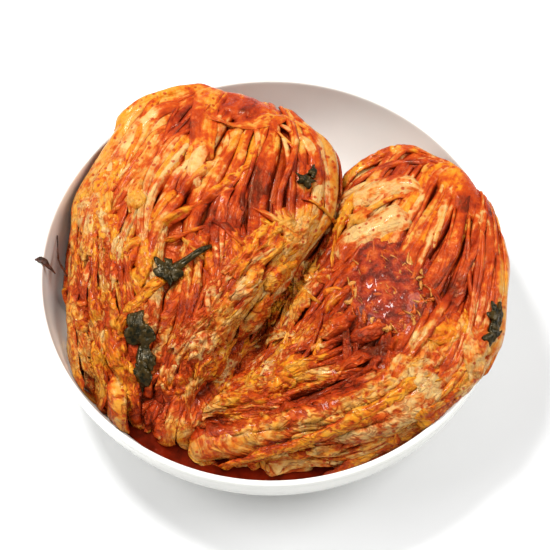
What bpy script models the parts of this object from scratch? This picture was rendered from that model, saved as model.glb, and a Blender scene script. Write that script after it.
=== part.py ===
"""Two half heads of whole-leaf kimchi lying cut side up in a round white bowl.

Run with: blender --background --python part.py

Lengths are in metres, +Z is up, and the origin is at the middle of the ring that the bowl stands on.
+X is to the right and +Y to the back, where the two stem ends lie close to the rim.
"""

import math

import bmesh
import bpy
from mathutils import Vector

MM = 0.001
GAP = 0.35 * MM  # clearance left between touching pieces

# Bowl
RIM_RADIUS = 140 * MM
BOWL_HEIGHT = 60 * MM
WALL = 4 * MM
FLOOR_RADIUS = 92 * MM
FLOOR_TOP = 7 * MM
FOOT_RADIUS = 78 * MM
FOOT_WIDTH = 5 * MM
FOOT_RECESS = 2.4 * MM
FOOT_SLOPE = 1 * MM  # how far each side of the foot leans out
BOWL_SEGMENTS = 60
WALL_STEPS = 6
RIM_STEPS = 4

# Liquid
BRINE_LEVEL = 26 * MM
BRINE_BACK = -40 * MM  # the leaves dam the liquid in front of this line

# Cutters
CUT_TOP = 120 * MM
CUT_RADIUS = 139.7 * MM

# Each head is lofted over guide ribs, in millimetres in plan. A row runs from the stem to the leaf tips, and the
# rows go from the head's left edge to its right edge, seen with the stem at the back.
LEFT_RIBS = (
    ((-46, 121), (-84, 108), (-111, 75), (-126, 36), (-126, -13), (-112, -60)),
    ((-37, 121), (-68, 95), (-92, 52), (-106, 8), (-112, -36), (-103, -75)),
    ((-27, 119), (-50, 77), (-71, 31), (-84, -11), (-92, -51), (-90, -87)),
    ((-16, 116), (-28, 67), (-43, 18), (-60, -26), (-72, -62), (-75, -93)),
    ((-6, 113), (-7, 64), (-18, 15), (-38, -29), (-54, -66), (-61, -97)),
    ((5, 110), (20, 66), (13, 20), (-11, -23), (-34, -60), (-46, -95)),
    ((14, 106), (43, 76), (39, 31), (13, -9), (-11, -42), (-30, -76)),
)
RIGHT_RIBS = (
    ((107, 69), (78, 83), (44, 68), (16, 24), (-12, -21), (-40, -60)),
    ((112, 64), (86, 61), (52, 26), (22, -14), (-12, -49), (-50, -76)),
    ((118, 58), (97, 33), (68, -10), (34, -46), (-8, -72), (-56, -88)),
    ((123, 51), (110, 14), (87, -30), (53, -67), (6, -90), (-52, -98)),
    ((128, 44), (124, 2), (106, -45), (70, -83), (22, -102), (-41, -106)),
    ((132, 37), (134, -8), (120, -57), (86, -96), (39, -111), (-13, -112)),
    ((135, 30), (139, -12), (130, -60), (102, -95), (63, -115), (21, -118)),
)


class Head:
    """One half head: its guide ribs, and the heights of its edges and crest at the ribs' points, in millimetres.

    A shoulder is the share of the head's width over which that side rises to the crest, and how round it is.
    """

    def __init__(self, name, ribs, left_edge, crest, right_edge, left_shoulder, right_shoulder, phase):
        self.name = name
        self.ribs = ribs
        self.left_edge = left_edge
        self.crest = crest
        self.right_edge = right_edge
        self.left_shoulder = left_shoulder
        self.right_shoulder = right_shoulder
        self.phase = phase


LEFT = Head(
    "left_head",
    LEFT_RIBS,
    left_edge=(74, 77, 58, 41, 32, 28),
    crest=(80, 84, 81, 74, 58, 38),
    right_edge=(70, 64, 54, 48, 40, 31),
    left_shoulder=(0.35, 0.6),
    right_shoulder=(0.35, 0.6),
    phase=0.0,
)
RIGHT = Head(
    "right_head",
    RIGHT_RIBS,
    left_edge=(72, 68, 54, 42, 34, 28),
    crest=(80, 82, 79, 72, 54, 34),
    right_edge=(72, 70, 65, 58, 42, 29),
    left_shoulder=(0.60, 1.0),
    right_shoulder=(0.35, 0.6),
    phase=1.7,
)
FOLDS = 8  # long folds side by side across a head
FOLD_DEPTH = 5.5 * MM
STEM_FOLD_SHARE = 0.35  # the folds are this much of their depth at the stem, and full from a quarter of the way on
FOLD_ROUNDNESS = 0.7
FOLD_SWAY = 0.35  # how far a fold strays to a side, as a share of the fold spacing
STATIONS_ALONG = 23
STATIONS_ACROSS = 37
STATIONS_DOWN = 4
END_EASING = 0.10
STEM_ROUNDING = 0.10  # share of the length over which the stem end rounds off
TIP_ROUNDING = 0.05
TIP_SCATTER = 0.022  # how unevenly the leaves end, as a share of the length
TUCK_ALONG = 0.20  # how far the flanks tuck under, as a share of the length and of the width
TUCK_ACROSS = 0.36


class Patch:
    """A soft piece that lies on a head: where its middle is along and across the head, and its size."""

    def __init__(self, name, head, along, across, length, width, turn, height, lobes):
        self.name = name
        self.head = head
        self.along = along
        self.across = across
        self.length = length
        self.width = width
        self.turn = turn  # degrees from the run of the leaves
        self.height = height
        self.lobes = lobes


HEAD_LENGTH = 235 * MM
HEAD_WIDTH = 130 * MM
PATCH_SINK = 3 * MM  # how far below the folds' crests a patch ends at its edge
PATCH_DEPTH = 5 * MM  # how far it is taken down from there, before the head is cut out of it
PATCH_RINGS = 3
PATCH_SPOKES = 16
SEASONING = Patch("seasoning_heap", RIGHT, 0.45, 0.38, 58 * MM, 56 * MM, 20, 5 * MM, 5)
GREENS = (
    Patch("green_leaf_strip", LEFT, 0.52, 0.50, 34 * MM, 11 * MM, -25, 3.2 * MM, 3),
    Patch("green_leaf_clump", LEFT, 0.80, 0.48, 52 * MM, 28 * MM, 14, 4 * MM, 4),
    Patch("green_leaf_edge", RIGHT, 0.32, 0.89, 17 * MM, 9 * MM, -10, 3 * MM, 3),
)


def spline(points, t):
    """The smooth curve through evenly spaced points, at t from 0 to 1. It works on numbers and on vectors."""
    last = len(points) - 1
    x = min(max(t, 0.0), 1.0) * last
    i = min(int(x), last - 1)
    f = x - i
    b, c = points[i], points[i + 1]
    a = points[i - 1] if i > 0 else b + (b - c)
    d = points[i + 2] if i + 2 <= last else c + (c - b)
    return 0.5 * (2 * b + (c - a) * f + (2 * a - 5 * b + 4 * c - d) * f * f + (3 * b - 3 * c + d - a) * f**3)


def plan(head, u, v):
    """Where a leaf that lies at v across the head has got to at u along it, in metres."""
    scatter = (3 * math.sin(19 * v + head.phase) + 2 * math.sin(41 * v)) / 5
    reach = u * (1 + TIP_SCATTER * (scatter - 1) * u * u)
    across = [spline([Vector(p) for p in rib], reach) for rib in head.ribs]
    return spline(across, v) * MM


def rounding(share):
    """A quarter round that rises from 0 to 1 as share does."""
    share = min(max(share, 0.0), 1.0)
    return math.sqrt(1 - (1 - share) ** 2)


def fold(head, u, v):
    """Relief of the leaf edges on the cut side: round crests between narrow valleys, from -1 to 0."""
    sway = FOLD_SWAY * (math.sin(5 * u + head.phase) + math.sin(11 * u + 7 * v) / 2)
    ridge = abs(math.sin(math.pi * (FOLDS * v + sway)))
    return ridge**FOLD_ROUNDNESS - 1


def shoulder(share, shape):
    """The rise from an edge, where share is 0, to the crest."""
    width, roundness = shape
    return math.sin(0.5 * math.pi * min(max(share / width, 0), 1)) ** roundness


def dome(head, u, v):
    """How far the upper surface has risen from the head's edge to its crest, from 0 to 1."""
    sides = shoulder(v, head.left_shoulder) * shoulder(1 - v, head.right_shoulder)
    return sides * rounding(u / STEM_ROUNDING) * rounding((1 - u) / TIP_ROUNDING)


def fold_crests(head, u, v):
    """Height of the surface that would just cover the head's folds, in metres."""
    edge = (1 - v) * spline(head.left_edge, u) + v * spline(head.right_edge, u)
    return (edge + (spline(head.crest, u) - edge) * dome(head, u, v)) * MM


def top(head, u, v):
    """Height of the head's upper surface with its folds, in metres."""
    depth = FOLD_DEPTH * (STEM_FOLD_SHARE + (1 - STEM_FOLD_SHARE) * min(1, 4 * u)) * dome(head, u, v)
    return fold_crests(head, u, v) + depth * fold(head, u, v)


def eased(i, count):
    """Sample i of count from 0 to 1, closer together at both ends."""
    t = i / (count - 1)
    return t - END_EASING * math.sin(2 * math.pi * t)


def new_object(name, mesh_builder, material, cutter=False):
    mesh = bpy.data.meshes.new(name)
    bm = mesh_builder()
    bmesh.ops.recalc_face_normals(bm, faces=bm.faces)
    bm.to_mesh(mesh)
    bm.free()
    obj = bpy.data.objects.new(name, mesh)
    bpy.context.scene.collection.objects.link(obj)
    mesh.materials.append(material)
    mesh.shade_smooth()
    mesh.set_sharp_from_angle(angle=math.radians(50))
    if cutter:
        obj.hide_render = True
        obj.display_type = "WIRE"
    return obj


def boolean(obj, operation, other):
    modifier = obj.modifiers.new(f"{operation.lower()}_{other.name}", "BOOLEAN")
    modifier.operation = operation
    modifier.solver = "EXACT"
    modifier.use_self = True
    modifier.object = other


def material(name, colour, roughness):
    made = bpy.data.materials.new(name)
    made.use_nodes = True
    shader = made.node_tree.nodes["Principled BSDF"]
    shader.inputs["Base Color"].default_value = (*colour, 1.0)
    shader.inputs["Roughness"].default_value = roughness
    shader.inputs["Metallic"].default_value = 0.0
    return made


def turned(profile):
    """A solid turned about Z from a profile of (radius, height) points that starts and ends on the axis."""
    bm = bmesh.new()
    rings = []
    for radius, z in profile:
        if radius == 0:
            rings.append([bm.verts.new((0, 0, z))])
            continue
        turns = (2 * math.pi * i / BOWL_SEGMENTS for i in range(BOWL_SEGMENTS))
        rings.append([bm.verts.new((radius * math.cos(a), radius * math.sin(a), z)) for a in turns])
    for low, high in zip(rings, rings[1:]):
        for i in range(BOWL_SEGMENTS):
            j = (i + 1) % BOWL_SEGMENTS
            corners = [low[i % len(low)], low[j % len(low)], high[j % len(high)], high[i % len(high)]]
            bm.faces.new(list(dict.fromkeys(corners)))
    return bm


def wall_curve(offset):
    """The inside of the bowl from the floor's edge to the rim, a quarter ellipse moved inwards by offset."""
    across = RIM_RADIUS - WALL - FLOOR_RADIUS
    high = BOWL_HEIGHT - FLOOR_TOP
    points = []
    for i in range(WALL_STEPS + 1):
        turn = 0.5 * math.pi * i / WALL_STEPS
        r = FLOOR_RADIUS + across * math.sin(turn)
        z = BOWL_HEIGHT - high * math.cos(turn)
        points.append((r - offset, z + offset * math.cos(turn)))
    return points


def bowl_profile():
    """Bowl wall, from the middle of the floor up the inside, over the round rim and down the outside to the foot."""
    inside = wall_curve(0)[:-1]
    half = WALL / 2
    rim = []
    for i in range(RIM_STEPS + 1):
        turn = math.pi * (1 - i / RIM_STEPS)
        rim.append((RIM_RADIUS - half + half * math.cos(turn), BOWL_HEIGHT - half + half * math.sin(turn)))
    outside = wall_curve(-WALL)[-2::-1]
    foot = [
        (FOOT_RADIUS + FOOT_SLOPE, FOOT_RECESS),
        (FOOT_RADIUS, 0),
        (FOOT_RADIUS - FOOT_WIDTH, 0),
        (FOOT_RADIUS - FOOT_WIDTH - FOOT_SLOPE, FOOT_RECESS),
    ]
    return [(0, FLOOR_TOP), *inside, *rim, *outside, *foot, (0, FOOT_RECESS)]


def cavity_profile():
    """All the room that food can take: inside the bowl, over its rim, and above."""
    return [
        (0, FLOOR_TOP + GAP),
        *wall_curve(GAP),
        (RIM_RADIUS - WALL - GAP, BOWL_HEIGHT + GAP),
        (CUT_RADIUS, BOWL_HEIGHT + GAP),
        (CUT_RADIUS, CUT_TOP),
        (0, CUT_TOP),
    ]


def brine_profile():
    below = [p for p in wall_curve(GAP) if p[1] < BRINE_LEVEL - GAP]
    t = math.acos((BOWL_HEIGHT - BRINE_LEVEL) / (BOWL_HEIGHT - FLOOR_TOP))
    shore = FLOOR_RADIUS + (RIM_RADIUS - WALL - FLOOR_RADIUS) * math.sin(t) - 3 * GAP
    return [(0, FLOOR_TOP + GAP), *below, (shore, BRINE_LEVEL), (0, BRINE_LEVEL)]


def border_steps():
    """Grid steps round a head's outline: the stem end, the right edge, the tips and the left edge."""
    last_u, last_v = STATIONS_ALONG - 1, STATIONS_ACROSS - 1
    stem = [(0, j) for j in range(last_v)]
    right = [(i, last_v) for i in range(last_u)]
    tips = [(last_u, j) for j in range(last_v, 0, -1)]
    left = [(i, 0) for i in range(last_u, 0, -1)]
    return stem + right + tips + left


def head_body(head, grow=0.0, lift=0.0):
    """The lofted upper side of a head over flanks that tuck under to a flat base.

    The whole skin moves outwards by grow and up by lift.
    """
    bm = bmesh.new()
    grid = []
    for i in range(STATIONS_ALONG):
        u = eased(i, STATIONS_ALONG)
        row = []
        for j in range(STATIONS_ACROSS):
            v = eased(j, STATIONS_ACROSS)
            row.append(bm.verts.new((*plan(head, u, v), top(head, u, v))))
        grid.append(row)
    for low, high in zip(grid, grid[1:]):
        for j in range(STATIONS_ACROSS - 1):
            bm.faces.new((low[j], low[j + 1], high[j + 1], high[j]))
    upper = [grid[i][j] for i, j in border_steps()]
    for k in range(1, STATIONS_DOWN + 1):
        down = k / STATIONS_DOWN
        tuck = 1 - math.sqrt(1 - down**2)
        lower = []
        for i, j in border_steps():
            u = 0.5 + (eased(i, STATIONS_ALONG) - 0.5) * (1 - TUCK_ALONG * tuck)
            v = 0.5 + (eased(j, STATIONS_ACROSS) - 0.5) * (1 - TUCK_ACROSS * tuck)
            lower.append(bm.verts.new((*plan(head, u, v), grid[i][j].co.z * (1 - down))))
        for n in range(len(upper)):
            m = (n + 1) % len(upper)
            bm.faces.new((upper[n], upper[m], lower[m], lower[n]))
        upper = lower
    bm.faces.new(upper)
    bmesh.ops.recalc_face_normals(bm, faces=bm.faces)
    # The same triangles in the head and in the cutters made from it keep the gap between them even.
    bmesh.ops.triangulate(bm, faces=[face for face in bm.faces if len(face.verts) == 4], quad_method="SHORT_EDGE")
    if grow:
        bm.normal_update()
        moved = [p.co + p.normal * grow for p in bm.verts]
        for p, co in zip(bm.verts, moved):
            p.co = co
    bmesh.ops.translate(bm, verts=bm.verts, vec=(0, 0, lift))
    return bm


def patch_body(patch):
    """A lobed mound that follows the head under it and sinks into it at its edge."""

    def station(share, spin):
        lobe = 1 + 0.10 * math.sin(patch.lobes * spin + patch.along * 9) + 0.06 * math.sin(2 * spin + 1)
        s = 0.5 * patch.length * share * lobe * math.cos(spin)
        t = 0.5 * patch.width * share * lobe * math.sin(spin)
        turn = math.radians(patch.turn)
        u = patch.along + (s * math.cos(turn) - t * math.sin(turn)) / HEAD_LENGTH
        v = patch.across + (s * math.sin(turn) + t * math.cos(turn)) / HEAD_WIDTH
        rise = patch.height * (1 - share**3) * (1 + 0.2 * math.sin(patch.lobes * spin + 4 * share))
        x, y = plan(patch.head, u, v)
        return x, y, fold_crests(patch.head, u, v) + rise - PATCH_SINK * share**3

    bm = bmesh.new()
    spins = [2 * math.pi * n / PATCH_SPOKES for n in range(PATCH_SPOKES)]
    middle = bm.verts.new(station(0, 0))
    rings = [[bm.verts.new(station(k / PATCH_RINGS, a)) for a in spins] for k in range(1, PATCH_RINGS + 1)]
    rings.append([bm.verts.new((p.co.x, p.co.y, p.co.z - PATCH_DEPTH)) for p in rings[-1]])
    for n in range(PATCH_SPOKES):
        m = (n + 1) % PATCH_SPOKES
        bm.faces.new((middle, rings[0][n], rings[0][m]))
        for inner, outer in zip(rings, rings[1:]):
            bm.faces.new((inner[n], outer[n], outer[m], inner[m]))
    bm.faces.new(rings[-1])
    return bm


def back_block():
    """A block over the back of the bowl, where no liquid reaches."""
    bm = bmesh.new()
    bmesh.ops.create_cube(bm, size=2 * CUT_RADIUS)
    bmesh.ops.translate(bm, verts=bm.verts, vec=(0, BRINE_BACK + CUT_RADIUS, 0))
    return bm


def clear_scene():
    for obj in list(bpy.data.objects):
        bpy.data.objects.remove(obj, do_unlink=True)


def main():
    clear_scene()
    ceramic = material("white_glaze", (0.86, 0.83, 0.80), 0.25)
    leaf = material("kimchi_leaf", (0.78, 0.36, 0.10), 0.4)
    liquid = material("brine", (0.42, 0.05, 0.01), 0.12)

    new_object("bowl", lambda: turned(bowl_profile()), ceramic)
    cavity = new_object("cavity_guide", lambda: turned(cavity_profile()), ceramic, cutter=True)
    left_cutter = new_object("left_guide", lambda: head_body(LEFT, 2 * GAP), leaf, cutter=True)
    right_cutter = new_object("right_guide", lambda: head_body(RIGHT, 2 * GAP), leaf, cutter=True)

    left_bed = new_object("left_bed", lambda: head_body(LEFT, lift=2 * GAP), leaf, cutter=True)
    right_bed = new_object("right_bed", lambda: head_body(RIGHT, lift=2 * GAP), leaf, cutter=True)

    left = new_object("left_head", lambda: head_body(LEFT), leaf)
    boolean(left, "INTERSECT", cavity)
    right = new_object("right_head", lambda: head_body(RIGHT), leaf)
    boolean(right, "INTERSECT", cavity)
    boolean(right, "DIFFERENCE", left_cutter)

    paste = material("chilli_paste", (0.45, 0.05, 0.01), 0.3)
    green = material("green_leaf", (0.03, 0.05, 0.015), 0.4)
    for patch, finish in [(SEASONING, paste), *((green_patch, green) for green_patch in GREENS)]:
        piece = new_object(patch.name, lambda: patch_body(patch), finish)
        boolean(piece, "DIFFERENCE", left_bed if patch.head is LEFT else right_bed)

    back_cutter = new_object("back_guide", back_block, leaf, cutter=True)
    pool = new_object("brine_pool", lambda: turned(brine_profile()), liquid)
    boolean(pool, "DIFFERENCE", back_cutter)
    boolean(pool, "DIFFERENCE", left_cutter)
    boolean(pool, "DIFFERENCE", right_cutter)


main()
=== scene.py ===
"""Two half heads of whole-leaf kimchi in a white bowl, with paste, greens and brine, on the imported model."""

import math

import bpy
import numpy as np
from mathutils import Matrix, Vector

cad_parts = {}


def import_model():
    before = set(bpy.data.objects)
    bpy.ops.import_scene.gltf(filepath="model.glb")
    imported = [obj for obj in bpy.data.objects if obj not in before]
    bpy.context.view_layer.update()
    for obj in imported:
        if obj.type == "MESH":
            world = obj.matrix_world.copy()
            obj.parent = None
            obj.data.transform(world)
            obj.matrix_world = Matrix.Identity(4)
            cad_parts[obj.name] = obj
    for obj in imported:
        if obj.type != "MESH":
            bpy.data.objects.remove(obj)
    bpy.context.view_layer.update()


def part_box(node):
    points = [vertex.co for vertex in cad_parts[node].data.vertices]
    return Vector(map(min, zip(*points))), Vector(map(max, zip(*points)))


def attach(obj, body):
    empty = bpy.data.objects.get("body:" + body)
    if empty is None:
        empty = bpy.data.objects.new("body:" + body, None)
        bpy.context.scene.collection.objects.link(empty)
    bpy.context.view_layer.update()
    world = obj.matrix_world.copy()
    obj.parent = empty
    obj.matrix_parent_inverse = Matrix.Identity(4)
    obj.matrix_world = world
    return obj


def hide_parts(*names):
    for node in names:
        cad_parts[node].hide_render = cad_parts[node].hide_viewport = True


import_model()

MM = 0.001
TAU = 2 * math.pi

# ---------------------------------------------------------------- sizes
RIM_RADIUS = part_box("bowl")[1][0]
BOWL_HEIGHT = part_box("bowl")[1][2]
WALL = 4 * MM
FLOOR_RADIUS = 92 * MM
FLOOR_TOP = 7 * MM
FOOT_RADIUS = 78 * MM
FOOT_WIDTH = 5 * MM
FOOT_RECESS = 2.4 * MM
CLEARANCE = 0.5 * MM
BRINE_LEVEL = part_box("brine_pool")[1][2]
HEAD_LENGTH = 235
HEAD_WIDTH = 120

# Guide ribs of the heads in plan, in millimetres: a row runs from the stem to the leaf tips, and the rows go
# from the head's left edge to its right edge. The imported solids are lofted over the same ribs.
LEFT_RIBS = (
    ((-46, 121), (-84, 108), (-111, 75), (-126, 36), (-126, -13), (-112, -60)),
    ((-37, 121), (-68, 95), (-92, 52), (-106, 8), (-112, -36), (-103, -75)),
    ((-27, 119), (-50, 77), (-71, 31), (-84, -11), (-92, -51), (-90, -87)),
    ((-16, 116), (-28, 67), (-43, 18), (-60, -26), (-72, -62), (-75, -93)),
    ((-6, 113), (-7, 64), (-18, 15), (-38, -29), (-54, -66), (-61, -97)),
    ((5, 110), (20, 66), (13, 20), (-11, -23), (-34, -60), (-46, -95)),
    ((14, 106), (43, 76), (39, 31), (13, -9), (-11, -42), (-30, -76)),
)
RIGHT_RIBS = (
    ((107, 69), (78, 83), (44, 68), (16, 24), (-12, -21), (-40, -60)),
    ((112, 64), (86, 61), (52, 26), (22, -14), (-12, -49), (-50, -76)),
    ((118, 58), (97, 33), (68, -10), (34, -46), (-8, -72), (-56, -88)),
    ((123, 51), (110, 14), (87, -30), (53, -67), (6, -90), (-52, -98)),
    ((128, 44), (124, 2), (106, -45), (70, -83), (22, -102), (-41, -106)),
    ((132, 37), (134, -8), (120, -57), (86, -96), (39, -111), (-13, -112)),
    ((135, 30), (139, -12), (130, -60), (102, -95), (63, -115), (21, -118)),
)
STEM_ROUNDING = 0.10
TIP_ROUNDING = 0.05
TIP_SCATTER = 0.022
TUCK_ALONG = 0.20
TUCK_ACROSS = 0.36
FOLDS = 8
FOLD_SWAY = 0.35
RELIEF = 2.0 * MM  # depth of the large folds under the leaves
SINK = 1.5 * MM  # the leaves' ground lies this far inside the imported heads
CAMERA_TARGET = (0.00195, -0.0065, 0.060)
CAMERA_DISTANCE = 0.9
CAMERA_TILT = 60.25  # degrees above the horizon
CAMERA_LENS = 99.5
LIT_PLACE = (0, 0, 0.03)


# ---------------------------------------------------------------- noise
LATTICE = 32
_tables = {}


def noise(x, y, z, seed=0):
    """Smooth noise from -1 to 1 with features one unit wide, at arrays of points."""
    if seed not in _tables:
        _tables[seed] = np.random.default_rng(1000 + seed).uniform(-1, 1, (LATTICE,) * 3)
    table = _tables[seed]
    x, y, z = np.broadcast_arrays(x, y, z)
    cell = [np.floor(c).astype(int) for c in (x, y, z)]
    part = [c - i for c, i in zip((x, y, z), cell)]
    ease = [f * f * (3 - 2 * f) for f in part]
    total = 0
    for a in (0, 1):
        for b in (0, 1):
            for c in (0, 1):
                weight = (ease[0] if a else 1 - ease[0]) * (ease[1] if b else 1 - ease[1])
                weight = weight * (ease[2] if c else 1 - ease[2])
                total = total + weight * table[
                    (cell[0] + a) % LATTICE, (cell[1] + b) % LATTICE, (cell[2] + c) % LATTICE
                ]
    return total


def smooth(low, high, x):
    """0 below low, 1 above high, and a smooth rise between them."""
    t = np.clip((x - low) / (high - low), 0, 1)
    return t * t * (3 - 2 * t)


# ---------------------------------------------------------------- head surface
def ends_extended(points, axis):
    """Control points with one more at each end, on the line through the last two."""
    p = np.moveaxis(points, axis, 0)
    p = np.concatenate([2 * p[:1] - p[1:2], p, 2 * p[-1:] - p[-2:-1]])
    return np.moveaxis(p, 0, axis)


def spline_weights(t, count):
    """The first of the four control points that act at t, and their weights."""
    x = np.clip(t, 0, 1) * (count - 1)
    i = np.minimum(x.astype(int), count - 2)
    f = x - i
    weights = (-f + 2 * f**2 - f**3, 2 - 5 * f**2 + 3 * f**3, f + 4 * f**2 - 3 * f**3, f**3 - f**2)
    return i, [w / 2 for w in weights]


def curve(values, t):
    """The smooth curve through evenly spaced numbers."""
    values = ends_extended(np.array(values, float), 0)
    i, weights = spline_weights(t, len(values) - 2)
    return sum(w * values[i + k] for k, w in enumerate(weights))


def rounding(share):
    return np.sqrt(1 - (1 - np.clip(share, 0, 1)) ** 2)


def field(spots, u, w):
    """The sum of soft round spots on a head, each with along, across, radius in millimetres and amount."""
    total = 0
    for along, across, radius, amount in spots:
        distance = np.hypot((u - along) * HEAD_LENGTH, (w - across) * HEAD_WIDTH) / radius
        total = total + amount * np.exp(-(distance**2))
    return total


class Head:
    """A half head as a surface over u, from stem to tips, and w, from left to right.

    Outside 0 to 1 the surface goes on down the flanks and reaches the base one unit further out.
    """

    def __init__(self, name, ribs, left_edge, crest, right_edge, left_shoulder, right_shoulder, phase, pits):
        self.name = name
        self.ribs = ends_extended(ends_extended(np.array(ribs, float), 0), 1)
        self.left_edge, self.crest, self.right_edge = left_edge, crest, right_edge
        self.left_shoulder, self.right_shoulder = left_shoulder, right_shoulder
        self.phase = phase
        self.pits = pits
        steps = np.linspace(-1, 2, 361)
        self.step = steps[1] - steps[0]
        u, w = np.meshgrid(steps, steps, indexing="ij")
        self.place = self.surface(u, w)
        du, dw = np.gradient(self.place, self.step, axis=(0, 1))
        self.long = np.linalg.norm(du, axis=-1)
        self.wide = np.linalg.norm(dw, axis=-1)
        normal = np.cross(du, dw)
        size = np.linalg.norm(normal, axis=-1, keepdims=True)
        centre = self.place[180, 180]
        outward = (self.place - centre) * (1, 1, 0)
        outward = outward / np.linalg.norm(outward, axis=-1, keepdims=True).clip(1e-6)
        # The corners have no normal of their own.
        self.normal = np.where(size > 1e-5, normal / size.clip(1e-9), outward)
        self.place = self.place - self.normal * SINK

    def plan(self, u, v):
        scatter = (3 * np.sin(19 * v + self.phase) + 2 * np.sin(41 * v)) / 5
        reach = u * (1 + TIP_SCATTER * (scatter - 1) * u * u)
        i, along = spline_weights(reach, 6)
        j, across = spline_weights(v, 7)
        total = 0
        for a, wa in enumerate(across):
            for b, wb in enumerate(along):
                total = total + (wa * wb)[..., None] * self.ribs[j + a, i + b]
        return total * MM

    def sway(self, u, v):
        return FOLD_SWAY * (np.sin(5 * u + self.phase) + np.sin(11 * u + 7 * v) / 2)

    def dome(self, u, v):
        left, right = self.left_shoulder, self.right_shoulder
        sides = np.sin(0.5 * math.pi * np.clip(v / left[0], 0, 1)) ** left[1]
        sides = sides * np.sin(0.5 * math.pi * np.clip((1 - v) / right[0], 0, 1)) ** right[1]
        return sides * rounding(u / STEM_ROUNDING) * rounding((1 - u) / TIP_ROUNDING)

    def height(self, u, v):
        edge = (1 - v) * curve(self.left_edge, u) + v * curve(self.right_edge, u)
        dome = self.dome(u, v)
        ridge = np.abs(np.sin(math.pi * (FOLDS * v + self.sway(u, v)))) ** 0.7 - 1
        relief = RELIEF * (0.35 + 0.65 * np.clip(4 * u, 0, 1)) * dome * ridge
        return (edge + (curve(self.crest, u) - edge) * dome) * MM + relief

    def surface(self, u, w):
        inside_u, inside_w = np.clip(u, 0, 1), np.clip(w, 0, 1)
        down = np.clip(np.hypot(u - inside_u, w - inside_w), 0, 1)
        tuck = 1 - np.sqrt(1 - down**2)
        u2 = 0.5 + (inside_u - 0.5) * (1 - TUCK_ALONG * tuck)
        w2 = 0.5 + (inside_w - 0.5) * (1 - TUCK_ACROSS * tuck)
        z = self.height(inside_u, inside_w) * (1 - down)
        return np.concatenate([self.plan(u2, w2), z[..., None]], -1)

    def sample(self, grid, u, w):
        x = np.clip((u + 1) / self.step, 0, 359.999)
        y = np.clip((w + 1) / self.step, 0, 359.999)
        i, j = x.astype(int), y.astype(int)
        f, g = x - i, y - j
        if grid.ndim == 3:
            f, g = f[..., None], g[..., None]
        low = grid[i, j] * (1 - g) + grid[i, j + 1] * g
        high = grid[i + 1, j] * (1 - g) + grid[i + 1, j + 1] * g
        return low * (1 - f) + high * f

    def at(self, u, w, out):
        """Points of the surface, moved out of it by out."""
        return self.sample(self.place, u, w) + self.sample(self.normal, u, w) * out[..., None]

    def flow(self, c, u):
        """Where a leaf that starts in fold c lies across the head at u."""
        w = c / FOLDS + 0 * u
        for _ in range(3):
            w = (c - self.sway(u, np.clip(w, 0, 1))) / FOLDS
        return w

    def sunk(self, u, w):
        """The depth of the pits between the leaves, in millimetres."""
        return field(self.pits, u, w)

    def heave(self, u, w):
        """How far the leaves lie above the surface, in millimetres: gentle lumps, and pits between them."""
        rise = 1.3 * noise(u * 8, w * 5, self.phase, 20) + 0.8 * noise(u * 17, w * 9, self.phase, 21)
        return rise * smooth(0, 0.15, u) - self.sunk(u, w)


# Pits: along, across, radius and depth in millimetres.
LEFT = Head(
    "left_head",
    LEFT_RIBS,
    left_edge=(74, 77, 58, 41, 32, 28),
    crest=(80, 84, 81, 74, 58, 38),
    right_edge=(70, 64, 54, 48, 40, 31),
    left_shoulder=(0.35, 0.6),
    right_shoulder=(0.35, 0.6),
    phase=0.0,
    pits=(
        (0.93, 0.84, 8, 8), (0.77, 0.47, 8, 4), (0.9, 0.34, 5, 6), (0.38, 0.67, 6, 5), (0.32, 0.84, 5, 2.5),
        (0.81, 0.98, 8, 7), (0.34, 0.43, 5, 3), (0.38, 0.52, 6, 3), (0.94, 0.62, 9, 5), (0.28, 0.62, 5, 2.5),
        (1.0, 0.51, 8, 6), (0.97, 0.24, 6, 5), (0.9, 0.46, 6, 4),
    ),
)
RIGHT = Head(
    "right_head",
    RIGHT_RIBS,
    left_edge=(72, 68, 54, 42, 34, 28),
    crest=(80, 82, 79, 72, 54, 34),
    right_edge=(72, 70, 65, 58, 42, 29),
    left_shoulder=(0.6, 1.0),
    right_shoulder=(0.35, 0.6),
    phase=1.7,
    pits=(
        (0.35, 0.57, 6, 4), (0.57, 0.52, 7, 4), (0.68, 0.55, 9, 4), (0.55, 0.05, 8, 4), (0.8, 0.12, 9, 6),
        (1.0, 0.86, 8, 7), (0.62, 0.42, 12, 3), (0.82, 0.8, 8, 3), (0.95, 0.48, 7, 5),
    ),
)


def wall_radius(z):
    """Radius of the bowl's inside at a height, and of the room over its rim."""
    rise = np.clip((BOWL_HEIGHT - z) / (BOWL_HEIGHT - FLOOR_TOP), 0, 1)
    inside = FLOOR_RADIUS + (RIM_RADIUS - WALL - FLOOR_RADIUS) * np.sqrt(1 - rise**2)
    over = smooth(BOWL_HEIGHT - 1 * MM, BOWL_HEIGHT + 3 * MM, z)
    return inside + over * (WALL + 7 * MM) - CLEARANCE


def hold_in_bowl(p):
    """Points pushed in from the bowl's wall and up from its floor."""
    p = p.copy()
    p[..., 2] = np.maximum(p[..., 2], FLOOR_TOP + CLEARANCE)
    r = np.hypot(p[..., 0], p[..., 1])
    share = np.minimum(1, wall_radius(p[..., 2]) / np.maximum(r, 1e-9))
    p[..., :2] *= share[..., None]
    return p


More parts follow.
